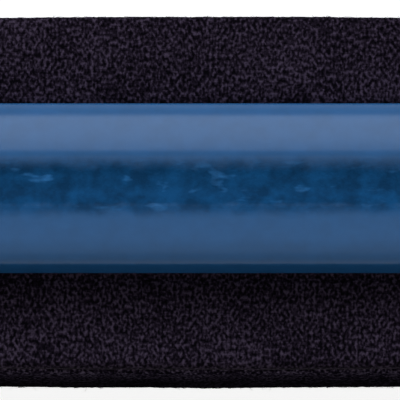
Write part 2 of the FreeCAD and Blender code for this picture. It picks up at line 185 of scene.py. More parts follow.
@dataclass(frozen=True)
class PressedFelt(Finish):
    """Wool felt, pressed and dyed black: matt, with pale specks of nap between dark pits.

    Real wool fibres are some 0.03 mm wide.  The specks are drawn far coarser, so that they show.
    Between two heights the colour goes from one share of itself to another.  This is painted
    shade and light: darker towards the foot, lighter towards the top, where light from above
    falls.
    """

    pit_hex: str = "#07050A"
    wool_hex: str = "#1F1823"
    speck_hex: str = "#493E4F"
    sheen_hex: str = "#8A8494"
    pit_at: float = 0.6
    wool_at: float = 0.76
    speck_at: float = 0.98
    speck_width: float = 0.42 * MM
    speck_length: float = 0.62 * MM
    fibre_width: float = 0.16 * MM
    fibre_length: float = 1.4 * MM
    fibre_share: float = 0.3
    fibre_turns: tuple[float, ...] = (0.3, 1.4, 2.5)
    fibre_tilt: tuple[float, float] = (0.35, 0.2)
    patch_size: float = 7 * MM
    patch_share: float = 0.16
    bump: float = 0.22 * MM
    sheen: float = 0.03
    specular: float = 0.03
    foot: float = 0.0
    top: float = 17 * MM
    painted_shade_at_foot: float = 1.0
    painted_light_at_top: float = 1.0

    def shader(self, tree: Tree, place: Socket) -> Socket:
        """Wires specks, fibres and wide patches into one uneven felt.

        Args:
            tree: The material's tree.
            place: The object's coordinates.

        Returns:
            The finished shader.
        """
        stretched = add_node(tree, "Mapping", {
            "Vector": place,
            "Scale": (1 / self.speck_width, 1 / self.speck_length, 1 / self.speck_width),
        })
        specks = add_node(tree, "TexNoise", {
            "Vector": stretched.outputs[0], "Scale": 1.0, "Detail": 1.5, "Roughness": 0.4,
        }).outputs["Fac"]
        patches = add_node(tree, "TexNoise", {
            "Vector": place, "Scale": 1 / self.patch_size, "Detail": 2.0,
        }).outputs["Fac"]
        fibres = self.fibre_height(tree, place)
        height = add_node(
            tree, "Math", {0: fibres, 1: self.fibre_share, 2: specks}, operation="MULTIPLY_ADD"
        ).outputs[0]
        shade = add_node(
            tree, "Math", {0: patches, 1: self.patch_share, 2: height}, operation="MULTIPLY_ADD"
        ).outputs[0]
        ramp = add_node(tree, "ValToRGB", {"Fac": shade})
        set_ramp(ramp, [
            (self.pit_at, srgb(self.pit_hex)),
            (self.wool_at, srgb(self.wool_hex)),
            (self.speck_at, srgb(self.speck_hex)),
        ])
        # Painted shade and light: the colour is scaled with height, from the foot's share to the
        # top's.
        level = add_node(tree, "SeparateXYZ", {"Vector": place}).outputs["Z"]
        share = add_node(tree, "MapRange", {
            "Value": level, "From Min": self.foot, "From Max": self.top,
            "To Min": self.painted_shade_at_foot, "To Max": self.painted_light_at_top,
        }).outputs[0]
        painted_shade_colour = add_node(tree, "VectorMath", {
            0: ramp.outputs["Color"], "Scale": share,
        }, operation="SCALE").outputs[0]
        bump = add_node(tree, "Bump", {"Strength": 1.0, "Distance": self.bump, "Height": height})
        return add_node(tree, "BsdfPrincipled", {
            "Base Color": painted_shade_colour,
            "Roughness": 1.0,
            "Specular IOR Level": self.specular,
            "Sheen Weight": self.sheen,
            "Sheen Roughness": 0.5,
            "Sheen Tint": srgb(self.sheen_hex),
            "Normal": bump.outputs[0],
        }).outputs[0]

    def fibre_height(self, tree: Tree, place: Socket) -> Socket:
        """Lays stretched noise in several directions, as matted fibres lie.

        Args:
            tree: The material's tree.
            place: The object's coordinates.

        Returns:
            The fibres' height, from 0 to 1.
        """
        total = None
        for turn in self.fibre_turns:
            mapped = add_node(tree, "Mapping", {
                "Vector": place,
                "Rotation": (self.fibre_tilt[0] * turn, self.fibre_tilt[1] * turn, turn),
                "Scale": (1 / self.fibre_length, 1 / self.fibre_width, 1 / self.fibre_width),
            })
            strands = add_node(tree, "TexNoise", {
                "Vector": mapped.outputs[0], "Scale": 1.0, "Detail": 1.0, "Distortion": 0.6,
            }).outputs["Fac"]
            if total is None:
                total = strands
            else:
                total = add_node(
                    tree, "Math", {0: total, 1: strands}, operation="MAXIMUM"
                ).outputs[0]
        return total


@dataclass(frozen=True)
class MouldedAbs(Finish):
    """Blue injection-moulded ABS: a gloss skin that fades into a matt, darker finger channel.

    The body of the plastic gives the colour.  The clear coat is the polished mould's gloss, and
    it fades out where the mould was spark eroded.  The grain of such a texture is some 0.1 mm; it
    is drawn coarser, so that it shows.
    """

    name: str = "blue ABS, moulded gloss and texture"
    pigment_hex: str = "#1C5689"
    channel_hex: str = "#0D416A"
    streak_hex: str = "#2F6CA3"
    body_roughness: float = 0.7
    body_specular: float = 0.04
    ior: float = 1.54
    gloss: float = 0.5
    gloss_roughness: float = 0.27
    channel_half_length: float = 40 * MM
    channel_half_width: float = 3.4 * MM
    channel_shift: float = 0.85 * MM
    channel_blend: float = 2.6 * MM
    channel_wander: float = 1.6 * MM
    wander_size: float = 3 * MM
    grain_size: float = 0.5 * MM
    grain_depth: float = 0.1 * MM
    ripple_share: float = 0.125
    blotch_size: float = 2.8 * MM
    blotch_low: float = 0.36
    blotch_high: float = 0.64
    blotch_on_gloss: float = 0.12
    blotch_in_channel: float = 0.6
    flow_length: float = 4.4 * MM
    flow_width: float = 1.6 * MM
    streak_low: float = 0.6
    streak_high: float = 0.72
    streak_on_gloss: float = 0.1
    streak_in_channel: float = 0.7

    def shader(self, tree: Tree, place: Socket) -> Socket:
        """Wires a matt body under a clear coat, with grain in the finger channel.

        Args:
            tree: The material's tree.
            place: The object's coordinates.

        Returns:
            The finished shader.
        """
        channel = self.channel_mask(tree, place)
        along = add_node(tree, "Mapping", {
            "Vector": place,
            "Scale": (1 / self.flow_length, 1 / self.flow_width, 1 / self.flow_width),
        })
        flow = add_node(tree, "TexNoise", {
            "Vector": along.outputs[0], "Scale": 1.0, "Detail": 2.0, "Roughness": 0.55,
        }).outputs["Fac"]
        grain = add_node(tree, "TexNoise", {
            "Vector": place, "Scale": 1 / self.grain_size, "Detail": 2.0, "Roughness": 0.6,
        }).outputs["Fac"]
        skin = add_node(tree, "MapRange", {
            "Value": channel, "To Min": self.gloss, "To Max": 0.0,
        }).outputs[0]
        texture = add_node(tree, "Math", {0: grain, 1: channel}, operation="MULTIPLY").outputs[0]
        eroded = add_node(tree, "Bump", {
            "Strength": 1.0, "Distance": self.grain_depth, "Height": texture,
        })
        ripple = add_node(tree, "Bump", {
            "Strength": 1.0, "Distance": self.grain_depth * self.ripple_share, "Height": flow,
        })
        return add_node(tree, "BsdfPrincipled", {
            "Base Color": self.colour(tree, place, channel, flow),
            "Roughness": self.body_roughness,
            "Specular IOR Level": self.body_specular,
            "IOR": self.ior,
            "Normal": eroded.outputs[0],
            "Coat Weight": skin,
            "Coat Roughness": self.gloss_roughness,
            "Coat Normal": ripple.outputs[0],
        }).outputs[0]

    def colour(self, tree: Tree, place: Socket, channel: Socket, flow: Socket) -> Socket:
        """Mixes the pigment with pale flow marks and cloudy blotches.

        Args:
            tree: The material's tree.
            place: The object's coordinates.
            channel: One in the finger channel and nought outside it.
            flow: Noise stretched along the grip.

        Returns:
            The colour.
        """
        base = add_node(tree, "Mix", {
            MIX_SHARE: channel,
            MIX_FIRST: srgb(self.pigment_hex),
            MIX_SECOND: srgb(self.channel_hex),
        }, data_type="RGBA").outputs[2]
        shown = add_node(tree, "MapRange", {
            "Value": channel, "To Min": self.streak_on_gloss, "To Max": self.streak_in_channel,
        }).outputs[0]
        streak = add_node(tree, "MapRange", {
            "Value": flow, "From Min": self.streak_low, "From Max": self.streak_high,
            "To Min": 0.0, "To Max": shown,
        }).outputs[0]
        streaked = add_node(tree, "Mix", {
            MIX_SHARE: streak, MIX_FIRST: base, MIX_SECOND: srgb(self.streak_hex),
        }, data_type="RGBA").outputs[2]
        blotch = add_node(tree, "TexNoise", {
            "Vector": place, "Scale": 1 / self.blotch_size, "Detail": 3.0, "Roughness": 0.6,
        }).outputs["Fac"]
        swing = add_node(tree, "MapRange", {
            "Value": channel, "To Min": self.blotch_on_gloss, "To Max": self.blotch_in_channel,
        }).outputs[0]
        centred = add_node(tree, "MapRange", {
            "Value": blotch, "From Min": self.blotch_low, "From Max": self.blotch_high,
            "To Min": -0.5, "To Max": 0.5,
        }).outputs[0]
        level = add_node(
            tree, "Math", {0: centred, 1: swing, 2: 1.0}, operation="MULTIPLY_ADD"
        ).outputs[0]
        return add_node(tree, "HueSaturation", {"Value": level, "Color": streaked}).outputs[0]

    def channel_mask(self, tree: Tree, place: Socket) -> Socket:
        """Finds the finger channel by its distance from the grip's middle line.

        Args:
            tree: The material's tree.
            place: The object's coordinates.

        Returns:
            One in the channel and nought outside it, with a soft uneven edge.
        """
        axes = add_node(tree, "SeparateXYZ", {"Vector": place})
        straight = self.channel_half_length - self.channel_half_width
        along = add_node(tree, "Math", {0: axes.outputs["X"]}, operation="ABSOLUTE").outputs[0]
        past = add_node(tree, "Math", {0: along, 1: straight}, operation="SUBTRACT").outputs[0]
        beyond = add_node(tree, "Math", {0: past, 1: 0.0}, operation="MAXIMUM").outputs[0]
        across = add_node(
            tree, "Math", {0: axes.outputs["Y"], 1: self.channel_shift}, operation="ADD"
        ).outputs[0]
        flat = add_node(tree, "CombineXYZ", {"X": beyond, "Y": across}).outputs[0]
        distance = add_node(tree, "VectorMath", {0: flat}, operation="LENGTH").outputs["Value"]
        wander = add_node(tree, "TexNoise", {
            "Vector": place, "Scale": 1 / self.wander_size, "Detail": 3.0,
        }).outputs["Fac"]
        uneven = add_node(
            tree, "Math", {0: wander, 1: self.channel_wander, 2: distance},
            operation="MULTIPLY_ADD",
        ).outputs[0]
        middle = self.channel_half_width + self.channel_wander / 2
        return add_node(tree, "MapRange", {
            "Value": uneven,
            "From Min": middle + self.channel_blend / 2,
            "From Max": middle - self.channel_blend / 2,
            "To Min": 0.0,
            "To Max": 1.0,
        }, interpolation_type="SMOOTHSTEP").outputs[0]


@dataclass(frozen=True)
class PressedFibreboard(Finish):
    """Pressed fibreboard: brown and matt, with short pale and dark fibres."""

    name: str = "fibreboard, pressed"
    dark_hex: str = "#4A3423"
    pale_hex: str = "#8B6B4A"
    fibre_length: float = 2.5 * MM
    fibre_width: float = 0.3 * MM
    fibre_turn: float = 0.4
    dark_at: float = 0.35
    pale_at: float = 0.7
    roughness: float = 0.85
    bump: float = 0.1 * MM
    bump_strength: float = 0.6

    def shader(self, tree: Tree, place: Socket) -> Socket:
        """Wires fibres that give both the colour and a slight roughness.

        Args:
            tree: The material's tree.
            place: The object's coordinates.

        Returns:
            The finished shader.
        """
        mapped = add_node(tree, "Mapping", {
            "Vector": place,
            "Rotation": (0.0, 0.0, self.fibre_turn),
            "Scale": (1 / self.fibre_length, 1 / self.fibre_width, 1 / self.fibre_width),
        })
        fibres = add_node(tree, "TexNoise", {
            "Vector": mapped.outputs[0], "Scale": 1.0, "Detail": 4.0, "Distortion": 0.8,
        }).outputs["Fac"]
        ramp = add_node(tree, "ValToRGB", {"Fac": fibres})
        set_ramp(ramp, [(self.dark_at, srgb(self.dark_hex)), (self.pale_at, srgb(self.pale_hex))])
        bump = add_node(tree, "Bump", {
            "Strength": self.bump_strength, "Distance": self.bump, "Height": fibres,
        })
        return add_node(tree, "BsdfPrincipled", {
            "Base Color": ramp.outputs["Color"],
            "Roughness": self.roughness,
            "Normal": bump.outputs[0],
        }).outputs[0]


@dataclass(frozen=True)
class HotMeltGlue(Finish):
    """Set hot-melt glue: cloudy amber, waxy, with an uneven surface."""

    name: str = "hot-melt glue, set"
    clear_hex: str = "#C9A45E"
    cloudy_hex: str = "#E2CFA0"
    cloud_size: float = 4 * MM
    clear_at: float = 0.35
    cloudy_at: float = 0.65
    roughness: float = 0.38
    ior: float = 1.48
    bump: float = 0.1 * MM
    bump_strength: float = 0.5

    def shader(self, tree: Tree, place: Socket) -> Socket:
        """Wires clouds that give both the colour and the unevenness.

        Args:
            tree: The material's tree.
            place: The object's coordinates.

        Returns:
            The finished shader.
        """
        clouds = add_node(tree, "TexNoise", {
            "Vector": place, "Scale": 1 / self.cloud_size, "Detail": 4.0,
        }).outputs["Fac"]
        ramp = add_node(tree, "ValToRGB", {"Fac": clouds})
        set_ramp(ramp, [
            (self.clear_at, srgb(self.clear_hex)), (self.cloudy_at, srgb(self.cloudy_hex)),
        ])
        bump = add_node(tree, "Bump", {
            "Strength": self.bump_strength, "Distance": self.bump, "Height": clouds,
        })
        return add_node(tree, "BsdfPrincipled", {
            "Base Color": ramp.outputs["Color"],
            "Roughness": self.roughness,
            "IOR": self.ior,
            "Normal": bump.outputs[0],
        }).outputs[0]


@dataclass(frozen=True)
class ZincPlatedSteel(Finish):
    """Zinc-plated steel screws: bright grey metal with a faint tumbled texture."""

    name: str = "steel, zinc plated"
    zinc_hex: str = "#C3C6C8"
    dull_hex: str = "#8F9396"
    spangle_size: float = 0.5 * MM
    dull_at: float = 0.3
    zinc_at: float = 0.7
    smoothest: float = 0.28
    roughest: float = 0.45

    def shader(self, tree: Tree, place: Socket) -> Socket:
        """Wires spangles that change both the colour and the roughness.

        Args:
            tree: The material's tree.
            place: The object's coordinates.

        Returns:
            The finished shader.
        """
        spangle = add_node(tree, "TexNoise", {
            "Vector": place, "Scale": 1 / self.spangle_size, "Detail": 3.0,
        }).outputs["Fac"]
        ramp = add_node(tree, "ValToRGB", {"Fac": spangle})
        set_ramp(ramp, [(self.dull_at, srgb(self.dull_hex)), (self.zinc_at, srgb(self.zinc_hex))])
        rough = add_node(tree, "MapRange", {
            "Value": spangle, "From Min": self.dull_at, "From Max": self.zinc_at,
            "To Min": self.smoothest, "To Max": self.roughest,
        }).outputs[0]
        return add_node(tree, "BsdfPrincipled", {
            "Base Color": ramp.outputs["Color"], "Metallic": 1.0, "Roughness": rough,
        }).outputs[0]


@dataclass(frozen=True)
class PaperSweep(Finish):
    """White studio paper: it shows white to the camera but still takes the object's shadow."""

    name: str = "studio paper, white"
    paper_hex: str = "#C8C8C6"
    lift: float = 0.8
    tooth_size: float = 2 * MM
    tooth_depth: float = 0.05 * MM
    tooth_strength: float = 0.2

    def shader(self, tree: Tree, place: Socket) -> Socket:
        """Wires matt paper with a glow that only sight and reflections see.

        Args:
            tree: The material's tree.
            place: The object's coordinates.

        Returns:
            The finished shader.
        """
        tooth = add_node(tree, "TexNoise", {
            "Vector": place, "Scale": 1 / self.tooth_size, "Detail": 2.0,
        }).outputs["Fac"]
        bump = add_node(tree, "Bump", {
            "Strength": self.tooth_strength, "Distance": self.tooth_depth, "Height": tooth,
        })
        paper = add_node(tree, "BsdfDiffuse", {
            "Color": srgb(self.paper_hex), "Normal": bump.outputs[0],
        })
        strength = add_node(
            tree, "Math", {0: seen_directly(tree), 1: self.lift}, operation="MULTIPLY"
        ).outputs[0]
        glow = add_node(tree, "Emission", {"Strength": strength})
        return add_node(tree, "AddShader", {0: paper.outputs[0], 1: glow.outputs[0]}).outputs[0]


# ---------------------------------------------------------------- meshes


def make_object(name: str, bm: BMesh, material: bpy.types.Material) -> bpy.types.Object:
    """Turns a bmesh into a smooth-shaded object at the origin.

    Args:
        name: The object's name.
        bm: The finished bmesh, which is freed.
        material: Its only material.

    Returns:
        The new object.
    """
    mesh = bpy.data.meshes.new(name)
    bm.to_mesh(mesh)
    bm.free()
    mesh.materials.append(material)
    mesh.shade_smooth()
    piece = bpy.data.objects.new(name, mesh)
    bpy.context.scene.collection.objects.link(piece)
    return piece


def gridded_block(low: Vector, high: Vector, step: float, radius: float) -> BMesh:
    """Makes a closed block with an even grid on its faces and rounded edges.

    Args:
        low: The block's lowest corner.
        high: Its highest corner.
        step: The grid's spacing.
        radius: The radius of its edges.

    Returns:
        The block.
    """
    size = high - low
    bm = bmesh.new()
    bmesh.ops.create_cube(bm, size=1.0)
    for axis, extent in enumerate(size):
        along = [e for e in bm.edges if abs(e.verts[0].co[axis] - e.verts[1].co[axis]) > 0.5]
        cuts = round(extent / step) - 1
        if cuts > 0:
            bmesh.ops.subdivide_edges(bm, edges=along, cuts=cuts, use_grid_fill=True)
    bmesh.ops.scale(bm, vec=size, verts=bm.verts[:])
    round_edges(bm, size / 2, radius)
    bmesh.ops.translate(bm, vec=(low + high) / 2, verts=bm.verts[:])
    bmesh.ops.recalc_face_normals(bm, faces=bm.faces[:])
    return bm


def round_edges(bm: BMesh, half: Vector, radius: float) -> None:
    """Pulls a centred block's surface onto rounded edges and corners.

    Args:
        bm: The block, centred on the origin.
        half: Half its size.
        radius: The radius to give its edges.
    """
    core = half - Vector((radius,) * 3)
    for vert in bm.verts:
        inner = Vector(max(-c, min(c, p)) for c, p in zip(core, vert.co))
        outward = vert.co - inner
        if outward.length > 0:
            vert.co = inner + outward.normalized() * radius


def combine(piece: bpy.types.Object, tool_mesh: BMesh, operation: str) -> None:
    """Joins a solid to a piece, or cuts it from the piece, for good.

    Args:
        piece: The piece, whose mesh is replaced.
        tool_mesh: The solid, which is freed.
        operation: UNION or DIFFERENCE.
    """
    mesh = bpy.data.meshes.new("tool")
    tool_mesh.to_mesh(mesh)
    tool_mesh.free()
    tool = bpy.data.objects.new("tool", mesh)
    bpy.context.scene.collection.objects.link(tool)
    modifier = piece.modifiers.new("combine", "BOOLEAN")
    modifier.operation = operation
    modifier.object = tool
    modifier.solver = "EXACT"
    graph = bpy.context.evaluated_depsgraph_get()
    result = bpy.data.meshes.new_from_object(piece.evaluated_get(graph))
    former = piece.data
    piece.modifiers.clear()
    piece.data = result
    result.name = piece.name
    bpy.data.meshes.remove(former)
    bpy.data.objects.remove(tool)
    bpy.data.meshes.remove(mesh)


def round_bar(x: float, low: float, high: float, diameter: float) -> BMesh:
    """Makes an upright round bar on the middle line.

    Args:
        x: Its place along the line.
        low: The height of its lower end.
        high: The height of its upper end.
        diameter: Its diameter.

    Returns:
        The bar.
    """
    bm = bmesh.new()
    bmesh.ops.create_cone(
        bm, segments=48, radius1=diameter / 2, radius2=diameter / 2, depth=high - low,
        cap_ends=True, matrix=Matrix.Translation((x, 0, (low + high) / 2)),
    )
    return bm


@dataclass(frozen=True)
class Nap:
    """The loose curly fibres that stand out of a felt surface."""

    doublings: int
    length: float = 1.8 * MM
    thickness: float = 0.05 * MM
    bends: int = 2
    root_share: float = 0.5
    tip_share: float = 0.3
    length_range: tuple[float, float] = (0.5, 1.2)
    bend_range: tuple[float, float] = (-0.5, 0.5)
    twist_range: tuple[float, float] = (-0.8, 0.8)
    rise_range: tuple[float, float] = (0.05, 0.4)
    sunk_share: float = 0.02

    def strew(self, bm: BMesh, faces: list[BMFace], rng: random.Random) -> None:
        """Scatters fibres over some faces of a piece.

        Args:
            bm: The piece, which gains the fibres.
            faces: The faces to cover, evenly by area.
            rng: The source of chance.
        """
        fibre = bmesh.new()
        bmesh.ops.create_cone(
            fibre, segments=3, radius1=self.root_share * self.thickness,
            radius2=self.tip_share * self.thickness, depth=1.0, cap_ends=True,
            matrix=Matrix.Rotation(math.pi / 2, 4, "Y"),
        )
        lengthwise = [e for e in fibre.edges if abs(e.verts[0].co.x - e.verts[1].co.x) > 0.5]
        bmesh.ops.subdivide_edges(fibre, edges=lengthwise, cuts=self.bends)
        size = len(fibre.verts)
        for _ in range(self.doublings):
            bmesh.ops.duplicate(fibre, geom=fibre.verts[:] + fibre.edges[:] + fibre.faces[:])
        areas = [face.calc_area() for face in faces]
        chosen = rng.choices(faces, weights=areas, k=2 ** self.doublings)
        fibre.verts.ensure_lookup_table()
        for index, face in enumerate(chosen):
            self.lay(fibre.verts[index * size:(index + 1) * size], face, rng)
        nap = bpy.data.meshes.new("nap")
        fibre.to_mesh(nap)
        fibre.free()
        bm.from_mesh(nap)
        bpy.data.meshes.remove(nap)

    def lay(self, verts: list[BMVert], face: BMFace, rng: random.Random) -> None:
        """Curls one fibre and lays it on a face, with its ends just under the surface.

        Args:
            verts: The fibre's vertices, along X for a length of one.
            face: The face that it grows from.
            rng: The source of chance.
        """
        corner_a, corner_b = rng.sample(list(face.verts), 2)
        spot = corner_a.co.lerp(corner_b.co, rng.random())
        aim = face.normal.orthogonal().normalized()
        aim.rotate(Matrix.Rotation(rng.uniform(0, 2 * math.pi), 3, face.normal))
        basis = Matrix((aim, face.normal.cross(aim), face.normal)).transposed()
        length = self.length * rng.uniform(*self.length_range)
        bend = rng.uniform(*self.bend_range) * length
        twist = rng.uniform(*self.twist_range) * length
        rise = rng.uniform(*self.rise_range) * length
        sunk = self.sunk_share * length
        for vert in verts:
            x = vert.co.x
            arch = 0.25 - x * x
            curl = Vector((x * length, vert.co.y, vert.co.z))
            curl += Vector((0, bend * arch + twist * x * arch, rise * arch - sunk))
            vert.co = spot + basis @ curl


class FeltFace(Enum):
    """Which of a felt piece's faces is open to the air and so has a nap."""

    UPPER = Vector((0, 0, 1))
    LOWER = Vector((0, 0, -1))
    NEAR = Vector((0, -1, 0))
    FAR = Vector((0, 1, 0))
    LEFT = Vector((-1, 0, 0))
    RIGHT = Vector((1, 0, 0))

    def picks(self, face: BMFace) -> bool:
        """Returns whether a face of the mesh points mostly this way."""
        return face.normal.dot(self.value) > 0.6


@dataclass
class FeltPiece:
    """One piece of felt, cut from sheet, in the place of a node of the frame."""

    node: str
    finish: bpy.types.Material
    slot: str
    step: float
    edge_radius: float
    nap: Nap
    open_faces: tuple[FeltFace, ...]
    seed: int
    tuft_height: float = 0.13 * MM
    tuft_size: float = 0.6 * MM
    wave_height: float = 0.14 * MM
    wave_size: float = 11 * MM
    end_draw: float = 0.8 * MM
    channel_top: float = 0.0
    seed_shift: tuple[float, float] = (0.37, 0.11)
    low: Vector = field(init=False)
    high: Vector = field(init=False)

    def __post_init__(self) -> None:
        """Reads the node's box from the frame."""
        self.low, self.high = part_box(self.node)

    def build(self, half_length: float, half_width: float) -> bpy.types.Object:
        """Builds the piece and hides the node that it stands for.

        Args:
            half_length: Half the whole pad's length.
            half_width: Half the whole pad's width.

        Returns:
            The piece.
        """
        bm = gridded_block(self.low, self.high, self.step, self.edge_radius)
        self.ruffle(bm)
        self.trim(bm)
        piece = make_object(f"{self.node}_felt", bm, self.finish)
        self.cut(piece)
        bm = bmesh.new()
        bm.from_mesh(piece.data)
        faces = [f for f in bm.faces if any(side.picks(f) for side in self.open_faces)]
        self.nap.strew(bm, self.nappable(faces), random.Random(self.seed))
        self.draw_in(bm, half_length, half_width)
        bm.to_mesh(piece.data)
        bm.free()
        piece.data.shade_smooth()
        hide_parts(self.node)
        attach(piece, ROOT)
        self.declare(piece)
        log.info("%s: %d faces", piece.name, len(piece.data.polygons))
        return piece

    def draw_in(self, bm: BMesh, half_length: float, half_width: float) -> None:
        """Narrows the pad a little towards both ends, as a cut stack of felt settles.

        Args:
            bm: The piece, which is changed.
            half_length: Half the whole pad's length.
            half_width: Half the whole pad's width.
        """
        for vert in bm.verts:
            share = (vert.co.x / half_length) ** 2
            vert.co.y *= 1 - share * self.end_draw / half_width

    def ruffle(self, bm: BMesh) -> None:
        """Sinks the surface by uneven amounts, so that tufts stand between pits.

        Args:
            bm: The piece, which is changed.
        """
        bm.normal_update()
        shift = Vector((self.seed * self.seed_shift[0], self.seed * self.seed_shift[1], 0))
        for vert in bm.verts:
            if self.is_pressed(vert):
                continue
            tuft = 0.5 + 0.5 * noise.noise(vert.co / self.tuft_size + shift)
            wave = 0.5 + 0.5 * noise.noise(vert.co / self.wave_size + shift)
            vert.co -= vert.normal * (self.tuft_height * tuft + self.wave_height * wave)

    def is_pressed(self, vert: BMVert) -> bool:
        """Returns whether a vertex lies on a face that is glued flat to another piece."""
        in_dust_channel = abs(vert.normal.y) > 0.5 and vert.co.z < self.channel_top
        on_open_face = any(vert.normal.dot(side.value) > 0.5 for side in self.open_faces)
        return not (in_dust_channel or on_open_face)

    def trim(self, bm: BMesh) -> None:
        """Leaves a plain piece's mesh as it is."""

    def cut(self, piece: bpy.types.Object) -> None:
        """Leaves a plain piece whole."""

    def nappable(self, faces: list[BMFace]) -> list[BMFace]:
        """Returns the open faces that are in sight, which is all of them on a plain piece."""
        return faces

    def declare(self, piece: bpy.types.Object) -> None:
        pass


@dataclass
class CoverSheet(FeltPiece):
    """The sheet of felt laid over the board, with holes for the grip's bosses."""

    grip_high: Vector = field(default_factory=Vector)
    rests_on: str = "backing_board"
    hole_places: tuple[float, ...] = ()
    hole_diameter: float = 7.6 * MM
    dent_depth: float = 0.45 * MM
    dent_centre: float = 0.5 * MM
    dent_width: float = 0.6 * MM
    grip_corner: float = 9 * MM
    hidden_margin: float = 1.5 * MM
    under_depth: float = 0.3 * MM

    def ruffle(self, bm: BMesh) -> None:
        """Roughens the sheet and dents it all round the grip's foot, which bears on it.

        Args:
            bm: The sheet, which is changed.
        """
        super().ruffle(bm)
        core = self.grip_high - Vector((self.grip_corner,) * 3)
        for vert in bm.verts:
            if vert.co.z < self.high.z - MM:
                continue
            beyond = Vector((
                max(0.0, abs(vert.co.x) - core.x), max(0.0, abs(vert.co.y) - core.y)
            ))
            outside = beyond.length - self.grip_corner
            share = (outside - self.dent_centre) / self.dent_width
            vert.co.z -= self.dent_depth * math.exp(-share * share)

    def trim(self, bm: BMesh) -> None:
        """Puts one flat face under the sheet, where glue holds it.

        Args:
            bm: The sheet, which is changed.
        """
        limit = self.low.z + self.under_depth
        under = [face for face in bm.faces if all(vert.co.z < limit for vert in face.verts)]
        bmesh.ops.delete(bm, geom=under, context="FACES")
        rim = [edge for edge in bm.edges if edge.is_boundary]
        for vert in {vert for edge in rim for vert in edge.verts}:
            vert.co.z = self.low.z
        bmesh.ops.contextual_create(bm, geom=rim)

    def cut(self, piece: bpy.types.Object) -> None:
        """Cuts the holes that the grip's bosses pass through.

        Args:
            piece: The sheet, whose mesh is replaced.
        """
        for x in self.hole_places:
            hole = round_bar(x, self.low.z - MM, self.high.z + MM, self.hole_diameter)
            combine(piece, hole, "DIFFERENCE")

    def nappable(self, faces: list[BMFace]) -> list[BMFace]:
        """Picks the open faces that the grip doesn't hide.

        Args:
            faces: All of the sheet's open faces.

        Returns:
            Those in sight, and those just under the grip's foot.
        """
        reach_x = self.grip_high.x - self.hidden_margin
        reach_y = self.grip_high.y - self.hidden_margin
        shown = []
        for face in faces:
            middle = face.calc_center_median()
            if abs(middle.x) > reach_x or abs(middle.y) > reach_y:
                shown.append(face)
        return shown

    def declare(self, piece: bpy.types.Object) -> None:
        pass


# ---------------------------------------------------------------- sub-assemblies


@dataclass
class WipingPad:
    """The felt strips on edge, tall and short by turns, and the cover felt above them."""

    outer_step: float = 0.6 * MM
    inner_step: float = 1.0 * MM
    cover_step: float = 0.42 * MM
    strip_edge: float = 0.7 * MM
    spacer_edge: float = 0.3 * MM
    cover_edge: float = 1.2 * MM
    hole_places: tuple[float, ...] = (-36 * MM, 0.0, 36 * MM)
    cover_seed: int = 40
    outer_doublings: int = 11
    inner_doublings: int = 9
    spacer_doublings: int = 7
    cover_doublings: int = 12

    def build(self, node_names: list[str]) -> None:
        """Builds every felt piece of the pad.

        Args:
            node_names: The names of the frame's nodes.
        """
        low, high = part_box("cover_felt")
        half_length, half_width = high.x, high.y
        # The strips' felt carries painted shade and light: darker at the foot, almost twice as
        # bright at the top.
        strips = PressedFelt(
            "black wool felt, cut strip", wool_hex="#18131D", speck_hex="#463E4D",
            sheen=0.0, specular=0.0, foot=7 * MM, painted_shade_at_foot=0.5, painted_light_at_top=1.9,
        ).material()
        # The cover's felt carries painted shade, darker towards its lower edge.
        cover = PressedFelt(
            "black wool felt, pressed sheet", foot=low.z, top=high.z, painted_shade_at_foot=0.3,
        ).material()
        tall = sorted(name for name in node_names if name.startswith("wiping_ply_"))
        short = sorted(name for name in node_names if name.startswith("spacer_ply_"))
        ends = (FeltFace.LEFT, FeltFace.RIGHT, FeltFace.LOWER)
        outer = {tall[0]: (FeltFace.NEAR,), tall[-1]: (FeltFace.FAR,)}
        for seed, node in enumerate(tall, start=1):
            sides = outer.get(node, ())
            FeltPiece(
                node=node, finish=strips, slot="wiping_felt",
                step=self.outer_step if sides else self.inner_step,
                edge_radius=self.strip_edge,
                nap=Nap(self.outer_doublings if sides else self.inner_doublings),
                open_faces=ends + sides, seed=seed, channel_top=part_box(short[0])[0].z,
            ).build(half_length, half_width)
        for seed, node in enumerate(short, start=len(tall) + 1):
            FeltPiece(
                node=node, finish=strips, slot="wiping_felt", step=self.inner_step,
                edge_radius=self.spacer_edge, nap=Nap(self.spacer_doublings),
                open_faces=ends, seed=seed,
            ).build(half_length, half_width)
        CoverSheet(
            node="cover_felt", finish=cover, slot="cover_felt", step=self.cover_step,
            edge_radius=self.cover_edge, nap=Nap(self.cover_doublings),
            open_faces=tuple(side for side in FeltFace if side is not FeltFace.LOWER),
            seed=self.cover_seed, grip_high=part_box("grip")[1], hole_places=self.hole_places,
        ).build(half_length, half_width)


